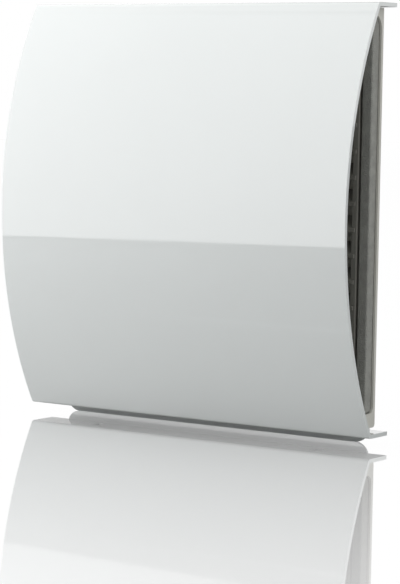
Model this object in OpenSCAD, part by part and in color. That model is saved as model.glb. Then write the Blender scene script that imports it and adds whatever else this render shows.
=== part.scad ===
// Acoustic cover for a wall vent, millimetres, +Z up.
// The origin is on the duct's axis in the wall plane. The wall is at +Y and the front faces -Y.

/* [Cover] */
// Width of the bent front sheet
cover_w = 260; // [200:1:340]
// Height of the cover over both returns
cover_h = 264; // [220:1:340]
// Thickness of the front sheet
sheet_t = 2.5; // [1:0.1:3]
// Depth of the flat returns, from the front corner back to the wall plate
return_d = 21.5; // [20:0.5:40]
// How far the arc stands out past the front corners
bulge = 34.5; // [28:0.5:60]
// Inside radius of the bends between arc and returns
bend_in_r = 0.5; // [0.2:0.1:4]

/* [Base tray] */
// How far the tray's sides stand in from the cover's open sides
tray_inset = 9; // [4:0.5:20]
// Thickness of the tray's floor
floor_t = 1.2; // [1:0.1:3]
// Thickness of the tray's side lips, rail walls and ribs
tray_wall = 1.4; // [1:0.1:3]
// How far the side lips stand up from the floor
lip_h = 1.2; // [0.5:0.1:4]
// How far the rails stop short of the cover's front corners
rail_front_gap = 3; // [2.5:0.5:6]
// Height of the bottom rail
rail_bottom_h = 8.8; // [7:0.1:14]
// Height of the top rail
rail_top_h = 4.2; // [4:0.1:10]
// Gap between the top rail and the cover
gap_top = 0.3; // [0.1:0.1:1]
// Drain gap between the bottom rail and the cover
gap_bottom = 1.8; // [1:0.1:4]
// Inside corner radius of the side cheeks at the bottom
cheek_r_bottom = 4.5; // [2:0.5:8]
// Inside corner radius of the side cheeks at the top
cheek_r_top = 8.5; // [2:0.5:12]
// Radius of the tray's rear lower corners
heel_r = 2.2; // [1:0.1:4]
// Distance between the ribs inside the rails
rib_pitch = 26; // [15:1:40]

/* [Wall plate] */
// Thickness of the wall plate
plate_t = 2; // [1:0.1:4]
// How far the plate's sides stand in from the tray's sides
plate_inset = 4.5; // [2:0.5:10]
// How far the plate hangs below the cover as a drip edge
drip_h = 6.2; // [3:0.1:15]
// How far the plate stops below the cover's top
plate_top_gap = 5; // [3:0.5:15]
// Corner radius of the plate
plate_r = 9.5; // [3:0.5:15]
// Diameter of the holes for the wall screws
wall_hole_d = 5.2; // [4:0.1:7]
// Distance from the tray's side to the wall screws
wall_hole_inset = 26; // [22:0.5:40]

/* [Duct collar] */
// Inside diameter of the wall duct
duct_d = 150; // [100:1:180]
// Radial play of the collar in the duct
duct_play = 0.5; // [0.2:0.1:1.5]
// Thickness of the collar's sheet
collar_t = 1; // [0.6:0.1:1.2]
// Length of the collar behind the wall plane
collar_l = 36; // [32:1:80]
// Width of the collar's flange, from the tube outward
flange_w = 9.5; // [6:0.5:14]
// Play of the tube in the wall plate's hole
collar_hole_play = 2; // [1.2:0.1:4]
// Distance from the collar's free end to the seal groove
groove_end_gap = 4; // [3:0.5:10]
// Width of the seal groove
groove_w = 8; // [6:0.5:12]
// Depth of the seal groove
groove_depth = 2.5; // [1.5:0.1:4]
// How far the seal's lips stand out past the tube, pressed as in the duct
seal_lip = 0.2; // [0.1:0.05:0.3]

/* [Guard mesh] */
// Distance between the mesh's bars
mesh_pitch = 10; // [8:0.5:16]
// Width of the mesh's bars
mesh_bar = 1.4; // [0.8:0.1:2]
// Length of the mesh's rim
mesh_rim_l = 3; // [2:0.5:10]

/* [Sound lining] */
// Thickness of the strips round the louvre
strip_t = 8; // [4:0.5:12]
// Width of the side strips
strip_w = 7.3; // [5:0.1:14]
// Height of the bottom strip
strip_bottom_h = 20; // [18:0.5:30]
// Height of the top strip
strip_top_h = 31; // [20:0.5:40]
// Joint between the strips and the tray's walls
strip_gap = 0.3; // [0.1:0.1:1]
// Thickness of the mat inside the arc
mat_t = 10; // [5:0.5:14]
// How far the mat stands in from the cover's open sides
mat_inset = 14; // [8:0.5:30]
// How far the mat stops short of the returns
mat_end_gap = 20; // [12:0.5:40]
// Radius of the openings for the wall screws' heads
access_r = 6.5; // [5:0.5:8]

/* [Louvre] */
// Number of slats
blade_count = 11; // [6:1:12]
// Height of one slat, lower edge to upper edge
blade_h = 10; // [8:0.5:11]
// Thickness of the slats' sheet
blade_t = 1; // [0.6:0.1:1.4]
// Height of each slat's upright front lip
blade_lip = 2; // [1:0.1:3]
// Gap between the slats and the tray's floor
blade_back_gap = 2.2; // [2:0.1:3]
// How far the slats stand out in front of the frame
blade_proud = 0.8; // [0:0.1:2]
// How deep the slats' ends sit in the frame
blade_seat = 2.2; // [1:0.1:2.4]
// Play of the slats in their grooves
blade_play = 0.1; // [0.05:0.05:0.3]
// Wall thickness of the louvre frame
frame_t = 3.2; // [3:0.1:5]
// Depth of the louvre frame
frame_d = 9; // [7:0.5:10]
// Joint between the frame and the lining strips
frame_gap = 1.1; // [0.5:0.1:3]
// Free height above the top slat and below the bottom slat
end_gap = 6.8; // [6.8:0.1:12]
// Length of the frame's fixing lugs
lug_l = 16; // [10:1:30]
// Thickness of the fixing lugs
lug_t = 1.5; // [1:0.1:2.5]

/* [Fasteners] */
// Shank diameter of the cover screws
cover_screw_d = 4; // [3:0.1:4.5]
// Distance from the tray's side to the cover screws
cover_screw_inset = 36; // [20:1:50]
// Shank diameter of the small screws
small_screw_d = 3; // [2.5:0.1:3.5]
// Play round every screw shank
screw_play = 0.1; // [0.05:0.05:0.2]

/* [Hidden] */
$fn = 96;
eps = 0.01;
far = 400;

// The wall plate's front face, on which the tray sits, and the tray floor's front face.
tray_y = -plate_t;
floor_y = tray_y - floor_t;

// The cover's outline: corners, and the big circle through them.
bend_r = bend_in_r + sheet_t;
top_z = cover_h / 2;
corner_y = tray_y - return_d;
arc_r = (pow(cover_h / 2, 2) + pow(bulge, 2)) / (2 * bulge);
arc_y = corner_y - bulge + arc_r;
// Each bend's centre lies one bend radius inside the return and inside the arc.
bend_z = top_z - bend_r;
bend_y = arc_y - sqrt(pow(arc_r - bend_r, 2) - pow(bend_z, 2));
bend_angle = atan2(bend_z, arc_y - bend_y);

// The tray's outline.
tray_w = cover_w - 2 * tray_inset;
rail_d = return_d - rail_front_gap;
tray_bottom = -top_z + sheet_t + gap_bottom;
tray_top = top_z - sheet_t - gap_top;
inner_bottom = tray_bottom + rail_bottom_h;
inner_top = tray_top - rail_top_h;
inner_x = tray_w / 2 - tray_wall;

// The wall plate's outline.
plate_w = tray_w - 2 * plate_inset;
plate_bottom = -top_z - drip_h;
plate_top = top_z - plate_top_gap;

// The lining strips and, inside them, the louvre frame.
strip_y = floor_y - strip_t;
strip_x = inner_x - strip_gap;
strip_low = inner_bottom + strip_gap;
strip_high = inner_top - strip_gap;
frame_x = strip_x - strip_w - frame_gap;
frame_bottom = strip_low + strip_bottom_h + frame_gap;
frame_top = strip_high - strip_top_h - frame_gap;
frame_y = floor_y - frame_d;
open_x = frame_x - frame_t;
open_bottom = frame_bottom + frame_t;
open_top = frame_top - frame_t;

// The slats.
blade_back = floor_y - blade_back_gap;
blade_front = frame_y - blade_proud;
blade_pitch = (open_top - open_bottom - 2 * end_gap - blade_h) / (blade_count - 1);
function blade_z(i) = open_bottom + end_gap + i * blade_pitch;
function blade_name(i) = str("louvre_blade_", i < 9 ? "0" : "", i + 1);

// The collar.
collar_r = duct_d / 2 - duct_play;
collar_bend_r = 1;
flange_r = collar_r + flange_w;
flange_clear = 0.8;
groove_back = collar_l - groove_end_gap;
groove_slope = 1.5;
rim_t = 1.6;
mesh_t = 1.2;

// Screws: cover screws, wall screws, tray screws and louvre screws.
cover_screw_r = cover_screw_d / 2;
cover_screw_top_l = sheet_t + gap_top + rail_top_h - 0.2;
cover_screw_bottom_l = sheet_t + gap_bottom + rail_bottom_h - 2;
cover_screw_x = tray_w / 2 - cover_screw_inset;
cover_screw_y = tray_y - rail_d / 2;
cover_head_r = 2 * cover_screw_r;
cover_head_h = 0.55 * cover_screw_d;
boss_r = cover_screw_r + 2.6;
wall_hole_x = tray_w / 2 - wall_hole_inset;
wall_hole_z = -(strip_low + strip_bottom_h / 2);
small_r = small_screw_d / 2;
small_head_r = 1.8 * small_r;
small_head_h = 1.6;
small_short = 0.2;
tray_screw_x = open_x - 14;
tray_screw_low = open_bottom + 16;
tray_screw_high = open_top - 16;
lug_h = end_gap - 0.8;
lug_x = open_x - 24;
lug_low = open_bottom + lug_h / 2;
lug_high = open_top - lug_h / 2;

FIXED_NODES = [
    "front_cover", "cover_lining", "cover_screws",
    "base_tray", "wall_plate", "tray_screws",
    "duct_spigot", "spigot_seal", "guard_mesh",
    "lining_left", "lining_right", "lining_top", "lining_bottom",
    "louvre_frame", "louvre_screws",
];

// Shared shapes

// Draws an outline given as (y, z) and runs it along X, centred.
module along_x(w) {
    rotate([90, 0, 90]) translate([0, 0, -w / 2]) linear_extrude(w) children();
}

// Draws an outline given as (x, z) and runs it along Y from y0 to y1.
module along_y(y0, y1) {
    translate([0, y1, 0]) rotate([90, 0, 0]) linear_extrude(y1 - y0) children();
}

// Turns an outline given as (radius, y) about the duct's axis.
module round_y() {
    rotate([-90, 0, 0]) rotate_extrude($fn = 180) children();
}

// A round bar or hole along Y.
module rod_y(r, y0, y1) {
    translate([0, y1, 0]) rotate([90, 0, 0]) cylinder(r = r, h = y1 - y0);
}

// A rectangle between two corners.
module rect(x0, x1, y0, y1) {
    translate([x0, y0]) square([x1 - x0, y1 - y0]);
}

// A rectangle with four equal round corners.
module round_rect(x0, x1, y0, y1, r) {
    rect(x0 + r, x1 - r, y0, y1);
    rect(x0, x1, y0 + r, y1 - r);
    for (x = [x0 + r, x1 - r], y = [y0 + r, y1 - r]) translate([x, y]) circle(r);
}

// The part of a ring between two directions less than 180 degrees apart.
module ring_sector(r_out, r_in, from, to, fn = 96) {
    reach = 3 * r_out;
    intersection() {
        difference() {
            circle(r_out, $fn = fn);
            circle(r_in, $fn = fn);
        }
        polygon([
            [0, 0],
            reach * [cos(from), sin(from)],
            reach * [cos((from + to) / 2), sin((from + to) / 2)],
            reach * [cos(to), sin(to)],
        ]);
    }
}

// Repeats its children at four points, mirrored left to right, at two heights.
module four(x, low, high) {
    for (side = [-1, 1], z = [low, high]) translate([side * x, 0, z]) children();
}

// A layer that follows the inside or outside of the arc, between two radii.
module arc_layer(r_out, r_in, half_angle) {
    translate([arc_y, 0]) ring_sector(r_out, r_in, 180 - half_angle, 180 + half_angle, 720);
}

// Cover

module cover_profile() {
    arc_layer(arc_r, arc_r - sheet_t, bend_angle);
    for (flip = [0, 1]) mirror([0, flip]) {
        translate([bend_y, bend_z]) ring_sector(bend_r, bend_r - sheet_t, 90, 180 - bend_angle);
        rect(bend_y, tray_y, top_z - sheet_t, top_z);
    }
}

module front_cover() color("white") difference() {
    along_x(cover_w) cover_profile();
    cover_screw_holes();
}

module cover_lining() color("dimgray") {
    mat_r = arc_r - sheet_t;
    mat_angle = asin((top_z - mat_end_gap) / mat_r);
    along_x(cover_w - 2 * mat_inset) arc_layer(mat_r, mat_r - mat_t, mat_angle);
}

// Repeats its children at two places along one return, with z = 0 on its outer face.
module cover_screw_places(at_top) {
    for (side = [-1, 1])
        translate([side * cover_screw_x, cover_screw_y, at_top ? top_z : -top_z])
            rotate([at_top ? 180 : 0, 0, 0]) children();
}

// A countersunk screw with a hexagon socket, from its head at z = 0 upward.
module cover_screw(length) difference() {
    union() {
        cylinder(r = cover_screw_r, h = length);
        cylinder(r1 = cover_head_r, r2 = cover_screw_r, h = cover_head_h);
    }
    translate([0, 0, -1]) cylinder(r = 0.45 * cover_head_r, h = 2.2, $fn = 6);
}

// The hole for such a screw, with its countersink.
module cover_screw_hole(length) {
    translate([0, 0, -1]) cylinder(r = cover_screw_r + screw_play, h = length + 1.1);
    cylinder(r1 = cover_head_r, r2 = cover_screw_r, h = cover_head_h);
    translate([0, 0, -1]) cylinder(r = cover_head_r, h = 1);
}

module cover_screw_holes() {
    cover_screw_places(true) cover_screw_hole(cover_screw_top_l);
    cover_screw_places(false) cover_screw_hole(cover_screw_bottom_l);
}

module cover_screws() color("silver") {
    cover_screw_places(true) cover_screw(cover_screw_top_l);
    cover_screw_places(false) cover_screw(cover_screw_bottom_l);
}

// Base tray

// The tray's outer section, with a round heel, as (y, z).
module tray_section() {
    rect(tray_y - rail_d, tray_y, tray_bottom + heel_r, tray_top);
    rect(tray_y - rail_d, tray_y - heel_r, tray_bottom, tray_top);
    translate([tray_y - heel_r, tray_bottom + heel_r]) circle(heel_r);
}

// The side cheek: a low lip with a deep rail at each end, as (y, z).
module cheek_profile() {
    lip_y = floor_y - lip_h;
    difference() {
        tray_section();
        rect(-far, lip_y, inner_bottom + cheek_r_bottom, inner_top - cheek_r_top);
        rect(-far, lip_y - cheek_r_bottom, inner_bottom, inner_top - cheek_r_top);
        rect(-far, lip_y - cheek_r_top, inner_bottom + cheek_r_bottom, inner_top);
        translate([lip_y - cheek_r_bottom, inner_bottom + cheek_r_bottom]) circle(cheek_r_bottom);
        translate([lip_y - cheek_r_top, inner_top - cheek_r_top]) circle(cheek_r_top);
    }
}

// Floor and rails between the cheeks, as (y, z).
module trough_profile() {
    difference() {
        tray_section();
        rect(-far, floor_y, inner_bottom, inner_top);
    }
}

// The pockets in the bottom rail: open to the wall plate, with a rib between each two.
module rail_pockets() {
    count = floor(2 * inner_x / rib_pitch);
    pitch = 2 * inner_x / count;
    for (i = [0:count - 1])
        translate([-inner_x + i * pitch + tray_wall / 2, tray_y - rail_d + tray_wall, tray_bottom + tray_wall])
            cube([pitch - tray_wall, rail_d, rail_bottom_h - 2 * tray_wall]);
}

// Bosses that take the cover screws and touch the cover's returns.
module cover_bosses() {
    for (x = [-cover_screw_x, cover_screw_x]) translate([x, cover_screw_y, 0]) {
        translate([0, 0, -top_z + sheet_t]) cylinder(r = boss_r, h = gap_bottom + rail_bottom_h);
        translate([0, 0, inner_top]) cylinder(r = boss_r, h = rail_top_h + gap_top);
    }
}

module base_tray() color("ivory") difference() {
    union() {
        difference() {
            union() {
                along_x(2 * inner_x) trough_profile();
                for (side = [-1, 1])
                    translate([side * (inner_x + tray_wall / 2), 0, 0]) along_x(tray_wall) cheek_profile();
            }
            rail_pockets();
        }
        cover_bosses();
    }
    rod_y(flange_r + flange_clear, floor_y - 1, 1);
    four(wall_hole_x, -wall_hole_z, wall_hole_z) rod_y(wall_hole_d / 2, floor_y - 1, 1);
    four(tray_screw_x, tray_screw_low, tray_screw_high) small_screw_hole();
    four(lug_x, lug_low, lug_high) small_screw_hole();
    cover_screw_holes();
}

// Wall plate

// The hole for a small screw, through the louvre's lugs, the tray's floor and the wall plate.
module small_screw_hole() {
    rod_y(small_r + screw_play, floor_y - lug_t - 1, 1);
}

module wall_plate() color("whitesmoke") difference() {
    along_y(tray_y, 0) round_rect(-plate_w / 2, plate_w / 2, plate_bottom, plate_top, plate_r);
    rod_y(collar_r + collar_hole_play, floor_y, 1);
    four(wall_hole_x, -wall_hole_z, wall_hole_z) rod_y(wall_hole_d / 2, floor_y, 1);
    four(tray_screw_x, tray_screw_low, tray_screw_high) small_screw_hole();
    four(lug_x, lug_low, lug_high) small_screw_hole();
}

// A pan head screw along Y, with its head's seat at y0 and its end just short of the wall plane.
module small_screw(y0) {
    rod_y(small_r, y0 - eps, -small_short);
    difference() {
        rod_y(small_head_r, y0 - small_head_h, y0);
        translate([0, y0 - small_head_h - eps, 0]) rotate([-90, 0, 0])
            cylinder(r = 0.45 * small_head_r, h = 0.9, $fn = 6);
    }
}

module tray_screws() color("silver")
    four(tray_screw_x, tray_screw_low, tray_screw_high) small_screw(floor_y);

module louvre_screws() color("silver")
    four(lug_x, lug_low, lug_high) small_screw(floor_y - lug_t);

// Duct collar

// The collar's sheet as (radius, y): tube, rolled groove, bend and flange.
module duct_spigot() color("lightgray") {
    bend_at = collar_r + collar_bend_r;
    inner = collar_r - collar_t;
    tube_start = tray_y + collar_bend_r;
    low = groove_back - groove_w;
    round_y() {
        polygon([
            [inner, tube_start],
            [collar_r, tube_start],
            [collar_r, low - groove_slope],
            [collar_r - groove_depth, low],
            [collar_r - groove_depth, groove_back],
            [collar_r, groove_back + groove_slope],
            [collar_r, collar_l],
            [inner, collar_l],
            [inner, groove_back + groove_slope + collar_t / 2],
            [inner - groove_depth, groove_back + collar_t / 2],
            [inner - groove_depth, low - collar_t / 2],
            [inner, low - groove_slope - collar_t / 2],
        ]);
        translate([bend_at, tube_start])
            ring_sector(collar_bend_r + collar_t, collar_bend_r, 180, 270);
        rect(bend_at, flange_r, tray_y - collar_t, tray_y);
    }
}

// The seal fills the groove's floor and has two round lips.
module spigot_seal() color("darkslategray") {
    base_r = collar_r - groove_depth;
    lip_r = 1.1;
    round_y() {
        rect(base_r, collar_r - 0.6, groove_back - groove_w, groove_back);
        for (y = [groove_back - 2.2, groove_back - groove_w + 2.2])
            translate([collar_r + seal_lip - lip_r, y]) circle(lip_r, $fn = 24);
    }
}

// A moulded mesh in a round rim, pressed into the collar behind its bend.
module guard_mesh() color("gray") {
    rim_r = collar_r - collar_t;
    front = tray_y + collar_bend_r + 1;
    bars = ceil(rim_r / mesh_pitch);
    cell = mesh_pitch - mesh_bar;
    along_y(front, front + mesh_t) difference() {
        circle(rim_r, $fn = 180);
        intersection() {
            circle(rim_r - rim_t, $fn = 180);
            for (i = [-bars:bars - 1], j = [-bars:bars - 1])
                translate([i * mesh_pitch + mesh_bar / 2, j * mesh_pitch + mesh_bar / 2]) square(cell);
        }
    }
    round_y() rect(rim_r - rim_t, rim_r, front, front + mesh_rim_l);
}

// Lining strips

// A strip beside the louvre.
module side_strip(side) {
    translate([side * (strip_x - strip_w / 2), 0, 0]) along_y(strip_y, floor_y)
        rect(-strip_w / 2, strip_w / 2, strip_low, strip_high);
}

// A strip above or below the louvre, with openings for the wall screws.
module cross_strip(z0, z1, hole_z) {
    half = strip_x - strip_w - strip_gap;
    along_y(strip_y, floor_y) difference() {
        rect(-half, half, z0, z1);
        for (x = [-wall_hole_x, wall_hole_x]) translate([x, hole_z]) circle(access_r);
    }
}

module lining_left() color("dimgray") side_strip(-1);
module lining_right() color("dimgray") side_strip(1);
module lining_top() color("dimgray") cross_strip(strip_high - strip_top_h, strip_high, wall_hole_z);
module lining_bottom() color("dimgray") cross_strip(strip_low, strip_low + strip_bottom_h, -wall_hole_z);

// Louvre

// One slat's section as (y, z): upright front lip, then a slope up to the back.
module blade_profile(play = 0) {
    rise = blade_h - blade_lip;
    run = blade_back - blade_front - blade_t;
    polygon([
        [blade_front - play, -play],
        [blade_front + blade_t + play, -play],
        [blade_front + blade_t + play, blade_lip - play],
        [blade_back + play, blade_h - blade_t * rise / run - play],
        [blade_back + play, blade_h + play],
        [blade_front - play, blade_lip + play],
    ]);
}

module louvre_blade(i) color("gray")
    translate([0, 0, blade_z(i)]) along_x(2 * (open_x + blade_seat - blade_play)) blade_profile();

module louvre_frame() color("gray") difference() {
    union() {
        along_y(frame_y, floor_y) difference() {
            rect(-frame_x, frame_x, frame_bottom, frame_top);
            rect(-open_x, open_x, open_bottom, open_top);
        }
        along_y(floor_y - lug_t, floor_y) for (side = [-1, 1]) {
            x = side * lug_x;
            rect(x - lug_l / 2, x + lug_l / 2, open_bottom - 1, open_bottom + lug_h);
            rect(x - lug_l / 2, x + lug_l / 2, open_top - lug_h, open_top + 1);
        }
    }
    four(lug_x, lug_low, lug_high) small_screw_hole();
    for (i = [0:blade_count - 1], side = [-1, 1])
        translate([side * (open_x + blade_seat / 2), 0, blade_z(i) + blade_play])
            along_x(blade_seat + eps) blade_profile(blade_play);
}

front_cover();
cover_lining();
cover_screws();
base_tray();
wall_plate();
tray_screws();
duct_spigot();
spigot_seal();
guard_mesh();
lining_left();
lining_right();
lining_top();
lining_bottom();
louvre_frame();
louvre_screws();
for (i = [0:blade_count - 1]) louvre_blade(i);
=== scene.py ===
"""Looks for an acoustic vent cover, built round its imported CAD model, in metres."""
import math

import bpy
from mathutils import Matrix, Vector


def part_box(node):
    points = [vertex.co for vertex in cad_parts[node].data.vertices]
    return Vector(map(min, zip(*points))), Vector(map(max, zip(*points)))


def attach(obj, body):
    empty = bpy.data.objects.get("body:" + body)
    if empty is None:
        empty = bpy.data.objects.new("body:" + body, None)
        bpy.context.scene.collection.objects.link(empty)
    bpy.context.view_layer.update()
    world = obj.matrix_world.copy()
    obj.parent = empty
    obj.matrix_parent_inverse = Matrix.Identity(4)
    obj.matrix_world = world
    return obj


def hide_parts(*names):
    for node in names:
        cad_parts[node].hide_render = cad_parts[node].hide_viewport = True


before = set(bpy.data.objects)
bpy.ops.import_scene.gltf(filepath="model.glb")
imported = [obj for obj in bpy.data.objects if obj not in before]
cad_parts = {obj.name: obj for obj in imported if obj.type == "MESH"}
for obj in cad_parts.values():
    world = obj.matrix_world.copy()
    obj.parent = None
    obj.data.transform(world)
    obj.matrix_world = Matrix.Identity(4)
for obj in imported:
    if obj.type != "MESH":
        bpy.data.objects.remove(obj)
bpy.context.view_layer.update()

# The bent cover sheet, as in the CAD model
COVER_HALF_W = 0.130
COVER_TOP = 0.132
SHEET_T = 0.0025
BEND_R = 0.003
BEND_Y, BEND_Z = -0.02173, 0.129
ARC_R, ARC_Y = 0.26977, 0.21177
RETURN_END_Y = -0.002
BEND_ANGLE = math.radians(28.9)
ARC_STEPS, BEND_STEPS = 96, 14
SCREW_X, SCREW_Y = 0.085, -0.01125

# The foam mat bonded inside the arc
MAT_HALF_W, MAT_R, MAT_T = 0.116, 0.26727, 0.010
MAT_ANGLE = math.radians(24.8)
FOAM_EDGE = 0.0012

# The floor that the cover stands on, and its straight front edge
FLOOR_Z = -0.1382
FLOOR_EDGE, FLOOR_EDGE_AZIMUTH = 0.789, math.radians(29.3)
FLOOR_REACH = 8.0


def leave_all():
    bpy.ops.object.select_all(action="DESELECT")


def take(piece):
    leave_all()
    piece.select_set(True)
    bpy.context.view_layer.objects.active = piece


def apply_modifier(piece, name):
    take(piece)
    bpy.ops.object.modifier_apply(modifier=name)


def thicken(piece, thickness):
    wall = piece.modifiers.new("wall", "SOLIDIFY")
    wall.thickness, wall.offset, wall.use_even_offset = thickness, -1, True
    apply_modifier(piece, "wall")


def round_edges(piece, width, segments=3, sharp=35):
    edge = piece.modifiers.new("edge", "BEVEL")
    edge.width, edge.segments = width, segments
    edge.limit_method, edge.angle_limit = "ANGLE", math.radians(sharp)
    apply_modifier(piece, "edge")
    bpy.ops.object.shade_smooth_by_angle(angle=math.radians(sharp))
    even = piece.modifiers.new("even", "WEIGHTED_NORMAL")
    even.keep_sharp = True
    apply_modifier(piece, "even")


def cut_away(piece, cutter):
    cut = piece.modifiers.new("cut", "BOOLEAN")
    cut.operation, cut.object, cut.solver = "DIFFERENCE", cutter, "EXACT"
    apply_modifier(piece, "cut")
    bpy.data.objects.remove(cutter)


def arc_points(radius, centre_y, centre_z, start, end, steps):
    """Points (y, z) of an arc; angles are measured from the -Y direction towards +Z."""
    turn = [start + (end - start) * i / steps for i in range(steps + 1)]
    return [(centre_y - radius * math.cos(a), centre_z + radius * math.sin(a)) for a in turn]


def bent_sheet(name, half_w, outline):
    """A plane along the outline's first stretch, extruded from point to point along the rest."""
    (y0, z0), (y1, z1) = outline[0], outline[1]
    leave_all()
    bpy.ops.mesh.primitive_plane_add(size=1, location=(0, (y0 + y1) / 2, (z0 + z1) / 2))
    sheet = bpy.context.object
    sheet.name = name
    sheet.scale = (2 * half_w, math.hypot(y1 - y0, z1 - z0), 1)
    sheet.rotation_euler = (math.atan2(z0 - z1, y0 - y1), 0, 0)
    bpy.ops.object.transform_apply(location=True, rotation=True, scale=True)
    for corner in sheet.data.vertices:
        at_end = math.hypot(corner.co.y - y1, corner.co.z - z1) < 1e-5
        corner.select = at_end
    for side in sheet.data.edges:
        side.select = all(sheet.data.vertices[i].select for i in side.vertices)
    for face in sheet.data.polygons:
        face.select = False
    bpy.ops.object.mode_set(mode="EDIT")
    bpy.ops.mesh.select_mode(type="EDGE")
    for (ya, za), (yb, zb) in zip(outline[1:], outline[2:]):
        step = {"value": (0, yb - ya, zb - za)}
        bpy.ops.mesh.extrude_edges_move(TRANSFORM_OT_translate=step)
    bpy.ops.mesh.select_all(action="SELECT")
    bpy.ops.mesh.normals_make_consistent(inside=False)
    bpy.ops.object.mode_set(mode="OBJECT")
    middle = min(sheet.data.polygons, key=lambda f: abs(f.center.z))
    if middle.normal.y > 0:
        sheet.data.flip_normals()
    return sheet


def foam_block(name, low, high):
    leave_all()
    centre = [(a + b) / 2 for a, b in zip(low, high)]
    bpy.ops.mesh.primitive_cube_add(size=1, location=centre)
    block = bpy.context.object
    block.name = name
    block.scale = [b - a for a, b in zip(low, high)]
    bpy.ops.object.transform_apply(location=True, rotation=True, scale=True)
    return block


def smooth_copy(name, node, edge=0.0):
    """A merged copy of a CAD node, with its edges eased where that is asked for."""
    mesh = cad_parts[node].data.copy()
    piece = bpy.data.objects.new(name, mesh)
    bpy.context.scene.collection.objects.link(piece)
    take(piece)
    bpy.ops.mesh.customdata_custom_splitnormals_clear()
    bpy.ops.object.mode_set(mode="EDIT")
    bpy.ops.mesh.select_all(action="SELECT")
    bpy.ops.mesh.remove_doubles(threshold=0.000005)
    if edge:
        bpy.ops.mesh.dissolve_limited(angle_limit=math.radians(0.5))
    bpy.ops.object.mode_set(mode="OBJECT")
    if edge:
        round_edges(piece, edge, segments=2, sharp=40)
    else:
        bpy.ops.object.shade_smooth_by_angle(angle=math.radians(30))
    return piece


def mount(piece, node, material):
    piece.data.materials.clear()
    piece.data.materials.append(material)
    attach(piece, "root")
    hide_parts(node)


def finish_of(name, dark, light, grain, roughness, relief, relief_grain,
              metallic=0.0, coat=0.0, cells=False):
    """A finish whose colour, roughness and relief all vary in the piece's own space."""
    material = bpy.data.materials.new(name)
    material.use_nodes = True
    nodes, links = material.node_tree.nodes, material.node_tree.links
    shader = nodes["Principled BSDF"]
    shader.inputs["Metallic"].default_value = metallic
    shader.inputs["IOR"].default_value = 1.5
    shader.inputs["Coat Weight"].default_value = coat
    shader.inputs["Coat Roughness"].default_value = 0.02
    shader.inputs["Coat IOR"].default_value = 1.6
    place = nodes.new("ShaderNodeTexCoord")
    cloud = nodes.new("ShaderNodeTexNoise")
    cloud.inputs["Scale"].default_value = grain
    cloud.inputs["Detail"].default_value = 5
    links.new(place.outputs["Object"], cloud.inputs["Vector"])
    tone = nodes.new("ShaderNodeValToRGB")
    tone.color_ramp.elements[0].position = 0.35
    tone.color_ramp.elements[0].color = (*dark, 1)
    tone.color_ramp.elements[1].position = 0.65
    tone.color_ramp.elements[1].color = (*light, 1)
    links.new(cloud.outputs["Fac"], tone.inputs["Fac"])
    links.new(tone.outputs["Color"], shader.inputs["Base Color"])
    rough = nodes.new("ShaderNodeMapRange")
    rough.inputs["From Min"].default_value = 0.3
    rough.inputs["From Max"].default_value = 0.7
    rough.inputs["To Min"].default_value, rough.inputs["To Max"].default_value = roughness
    links.new(cloud.outputs["Fac"], rough.inputs["Value"])
    links.new(rough.outputs["Result"], shader.inputs["Roughness"])
    fine = nodes.new("ShaderNodeTexVoronoi" if cells else "ShaderNodeTexNoise")
    fine.inputs["Scale"].default_value = relief_grain
    links.new(place.outputs["Object"], fine.inputs["Vector"])
    bump = nodes.new("ShaderNodeBump")
    bump.inputs["Strength"].default_value = relief
    bump.inputs["Distance"].default_value = 0.0004
    links.new(fine.outputs["Distance" if cells else "Fac"], bump.inputs["Height"])
    links.new(bump.outputs["Normal"], shader.inputs["Normal"])
    return material


white_coat = finish_of("white_powder_coat", (0.765, 0.79, 0.785), (0.785, 0.81, 0.805), 6,
                       (0.05, 0.08), 0.015, 900, coat=1.0)
white_plastic = finish_of("white_moulded_plastic", (0.60, 0.59, 0.54), (0.64, 0.63, 0.58), 30,
                          (0.35, 0.45), 0.10, 2500)
grey_foam = finish_of("grey_foam", (0.31, 0.31, 0.29), (0.37, 0.37, 0.345), 160,
                      (0.90, 0.98), 0.9, 1100, cells=True)
louvre_paint = finish_of("louvre_paint", (0.22, 0.215, 0.195), (0.25, 0.245, 0.22), 40,
                         (0.40, 0.50), 0.08, 2200)
zinc = finish_of("galvanised_sheet", (0.50, 0.52, 0.54), (0.66, 0.68, 0.70), 90,
                 (0.28, 0.42), 0.10, 500, metallic=1.0, cells=True)
seal_rubber = finish_of("seal_rubber", (0.018, 0.018, 0.018), (0.028, 0.028, 0.028), 60,
                        (0.60, 0.72), 0.15, 1800)
grey_plastic = finish_of("grey_moulded_plastic", (0.11, 0.11, 0.11), (0.13, 0.13, 0.13), 50,
                         (0.45, 0.55), 0.12, 2200)
screw_steel = finish_of("plated_screw_steel", (0.55, 0.55, 0.56), (0.65, 0.65, 0.66), 120,
                        (0.22, 0.32), 0.05, 1500, metallic=1.0)


# Front cover: return, bend, arc, bend, return, then its four countersunk holes
bend_span = math.pi / 2
outline = [(RETURN_END_Y, -COVER_TOP)]
outline += arc_points(BEND_R, BEND_Y, -BEND_Z, -bend_span, -BEND_ANGLE, BEND_STEPS)
outline += arc_points(ARC_R, ARC_Y, 0, -BEND_ANGLE, BEND_ANGLE, ARC_STEPS)[1:]
outline += arc_points(BEND_R, BEND_Y, BEND_Z, BEND_ANGLE, bend_span, BEND_STEPS)[1:]
outline += [(RETURN_END_Y, COVER_TOP)]
cover = bent_sheet("cover_sheet", COVER_HALF_W, outline)
thicken(cover, SHEET_T)
for side in (-1, 1):
    for end in (-1, 1):
        for wide, narrow, depth in ((0.0042, 0.0020, 0.0024), (0.0021, 0.0021, 0.0080)):
            first, second = (narrow, wide) if end > 0 else (wide, narrow)
            leave_all()
            bpy.ops.mesh.primitive_cone_add(
                vertices=48, radius1=first, radius2=second, depth=depth,
                location=(side * SCREW_X, SCREW_Y, end * (COVER_TOP + 0.0002 - depth / 2)))
            cut_away(cover, bpy.context.object)
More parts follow.
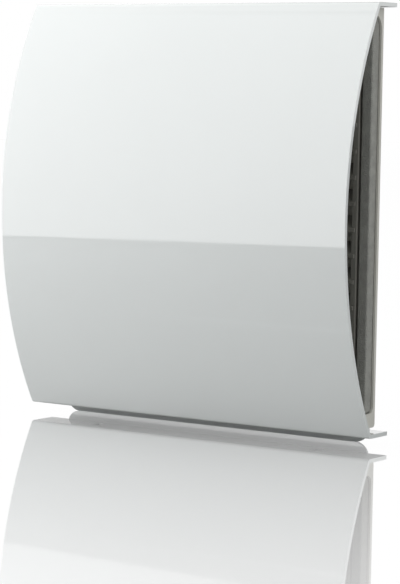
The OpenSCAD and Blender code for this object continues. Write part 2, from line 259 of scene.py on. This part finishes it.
round_edges(cover, 0.0004)
mount(cover, "front_cover", white_coat)

# Foam mat inside the arc
mat_outline = arc_points(MAT_R, ARC_Y, 0, -MAT_ANGLE, MAT_ANGLE, 72)
mat = bent_sheet("foam_mat", MAT_HALF_W, mat_outline)
thicken(mat, MAT_T)
round_edges(mat, 0.0016, segments=4)
mount(mat, "cover_lining", grey_foam)

# Foam strips round the louvre, the cross ones with openings for the wall screws
ACCESS_R, ACCESS_X, ACCESS_Z = 0.0065, 0.095, 0.1086
for node in ("lining_left", "lining_right", "lining_top", "lining_bottom"):
    low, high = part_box(node)
    strip = foam_block(node.replace("lining", "foam_strip"), low, high)
    if node in ("lining_top", "lining_bottom"):
        height = ACCESS_Z if node == "lining_top" else -ACCESS_Z
        for side in (-1, 1):
            leave_all()
            bpy.ops.mesh.primitive_cylinder_add(
                vertices=64, radius=ACCESS_R, depth=0.03, rotation=(math.pi / 2, 0, 0),
                location=(side * ACCESS_X, (low.y + high.y) / 2, height))
            cut_away(strip, bpy.context.object)
    round_edges(strip, FOAM_EDGE, segments=4)
    mount(strip, node, grey_foam)

# Rigid parts whose CAD shape is right: merged copies, the slats with eased edges
rigid = [
    ("tray_moulding", "base_tray", "white_plastic", white_plastic, 0.0),
    ("wall_plate_sheet", "wall_plate", "white_coat", white_coat, 0.0),
    ("louvre_surround", "louvre_frame", "louvre_grey", louvre_paint, 0.0),
    ("duct_collar", "duct_spigot", "zinc", zinc, 0.0),
    ("collar_seal", "spigot_seal", "seal_rubber", seal_rubber, 0.0),
    ("leaf_mesh", "guard_mesh", "grey_plastic", grey_plastic, 0.0),
    ("countersunk_screws", "cover_screws", "screw_steel", screw_steel, 0.0),
    ("tray_pan_screws", "tray_screws", "screw_steel", screw_steel, 0.0),
    ("louvre_pan_screws", "louvre_screws", "screw_steel", screw_steel, 0.0),
]
rigid += [(f"slat_{i:02d}", f"louvre_blade_{i:02d}", "louvre_grey", louvre_paint, 0.00015)
          for i in range(1, 12)]
for name, node, slot_name, material, edge in rigid:
    mount(smooth_copy(name, node, edge), node, material)


# Floor: pale, with a mirror sheen that fades towards the camera
def floor_finish():
    material = bpy.data.materials.new("pale_floor")
    material.use_nodes = True
    nodes, links = material.node_tree.nodes, material.node_tree.links
    nodes.clear()
    out = nodes.new("ShaderNodeOutputMaterial")
    plain = nodes.new("ShaderNodeBsdfDiffuse")
    plain.inputs["Color"].default_value = (0.52, 0.52, 0.52, 1)
    white = nodes.new("ShaderNodeEmission")
    white.inputs["Strength"].default_value = 1.08
    mirror = nodes.new("ShaderNodeBsdfGlossy")
    mirror.inputs["Color"].default_value = (1, 1, 1, 1)
    mirror.inputs["Roughness"].default_value = 0.03
    path = nodes.new("ShaderNodeLightPath")
    seen = nodes.new("ShaderNodeMath")
    seen.operation = "MULTIPLY"
    seen.inputs[1].default_value = 0.88
    links.new(path.outputs["Is Camera Ray"], seen.inputs[0])
    body = nodes.new("ShaderNodeMixShader")
    links.new(seen.outputs[0], body.inputs["Fac"])
    links.new(plain.outputs[0], body.inputs[1])
    links.new(white.outputs[0], body.inputs[2])
    place = nodes.new("ShaderNodeTexCoord")
    along = nodes.new("ShaderNodeVectorMath")
    along.operation = "DOT_PRODUCT"
    along.inputs[1].default_value = (0.562, -0.827, 0)
    links.new(place.outputs["Object"], along.inputs[0])
    fade = nodes.new("ShaderNodeMapRange")
    fade.inputs["From Min"].default_value, fade.inputs["From Max"].default_value = 0.0, 1.12
    fade.inputs["To Min"].default_value, fade.inputs["To Max"].default_value = 0.80, 0.0
    links.new(along.outputs["Value"], fade.inputs["Value"])
    sheen = nodes.new("ShaderNodeMath")
    sheen.operation = "MULTIPLY"
    links.new(fade.outputs["Result"], sheen.inputs[0])
    links.new(path.outputs["Is Camera Ray"], sheen.inputs[1])
    whole = nodes.new("ShaderNodeMixShader")
    links.new(sheen.outputs[0], whole.inputs["Fac"])
    links.new(body.outputs[0], whole.inputs[1])
    links.new(mirror.outputs[0], whole.inputs[2])
    links.new(whole.outputs[0], out.inputs["Surface"])
    return material


leave_all()
bpy.ops.mesh.primitive_plane_add(size=2 * FLOOR_REACH, location=(0, 0, 0))
floor = bpy.context.object
floor.name = "floor"
edge_turn = Matrix.Rotation(-FLOOR_EDGE_AZIMUTH, 4, "Z")
floor.data.transform(edge_turn @ Matrix.Translation((0, FLOOR_REACH - FLOOR_EDGE, FLOOR_Z)))
floor.data.materials.append(floor_finish())


# World: white where it is seen or mirrored, softer as a light
world = bpy.data.worlds.new("studio")
bpy.context.scene.world = world
world.use_nodes = True
world_nodes, world_links = world.node_tree.nodes, world.node_tree.links
soft = world_nodes["Background"]
soft.inputs["Color"].default_value = (0.97, 1.0, 0.99, 1)
soft.inputs["Strength"].default_value = 0.29
shown = world_nodes.new("ShaderNodeBackground")
shown.inputs["Color"].default_value = (1, 1, 1, 1)
shown.inputs["Strength"].default_value = 1.0
rays = world_nodes.new("ShaderNodeLightPath")
direct = world_nodes.new("ShaderNodeMath")
direct.operation = "MAXIMUM"
through = world_nodes.new("ShaderNodeMath")
through.operation = "MAXIMUM"
world_links.new(rays.outputs["Is Camera Ray"], direct.inputs[0])
world_links.new(rays.outputs["Is Glossy Ray"], direct.inputs[1])
world_links.new(direct.outputs[0], through.inputs[0])
world_links.new(rays.outputs["Is Transmission Ray"], through.inputs[1])
choice = world_nodes.new("ShaderNodeMixShader")
world_links.new(through.outputs[0], choice.inputs["Fac"])
world_links.new(soft.outputs[0], choice.inputs[1])
world_links.new(shown.outputs[0], choice.inputs[2])
world_links.new(choice.outputs[0], world_nodes["World Output"].inputs["Surface"])


def soft_light(name, azimuth, elevation, distance, size, watts, mirrored=True):
    """A square soft light aimed at the cover; azimuth 0 is in front, negative to the left."""
    lamp = bpy.data.objects.new(name, bpy.data.lights.new(name, "AREA"))
    lamp.data.size, lamp.data.energy = size, watts
    a, e = math.radians(azimuth), math.radians(elevation)
    towards = Vector((math.sin(a) * math.cos(e), -math.cos(a) * math.cos(e), math.sin(e)))
    lamp.location = towards * distance
    lamp.rotation_euler = towards.to_track_quat("Z", "Y").to_euler()
    lamp.visible_camera = False
    lamp.visible_glossy = mirrored
    bpy.context.scene.collection.objects.link(lamp)


soft_light("left_softbox", -64, 22, 1.7, 3.4, 37)
soft_light("near_left_light", -75, 3, 0.7, 0.5, 3.4, mirrored=False)
soft_light("top_softbox", -20, 68, 1.7, 1.3, 6, mirrored=False)
soft_light("right_fill", 80, 15, 1.7, 1.2, 9, mirrored=False)

# Camera, solved from the photograph
CAMERA_AT = Vector((0.84017, -1.25403, 0.07653))
AZIMUTH, ELEVATION, ROLL = (math.radians(a) for a in (34.202, 4.862, 0.974))
back = Vector((math.sin(AZIMUTH) * math.cos(ELEVATION),
               -math.cos(AZIMUTH) * math.cos(ELEVATION), math.sin(ELEVATION)))
level = Vector((0, 0, 1)).cross(back).normalized()
upright = back.cross(level)
right = level * math.cos(ROLL) + upright * math.sin(ROLL)
up = upright * math.cos(ROLL) - level * math.sin(ROLL)
camera = bpy.data.objects.new("camera", bpy.data.cameras.new("camera"))
bpy.context.scene.collection.objects.link(camera)
turn = Matrix((right, up, back)).transposed().to_4x4()
camera.matrix_world = Matrix.Translation(CAMERA_AT) @ turn
camera.data.sensor_fit, camera.data.sensor_width, camera.data.lens = "HORIZONTAL", 36, 211.87
bpy.context.scene.camera = camera
bpy.context.scene.view_settings.view_transform = "Standard"
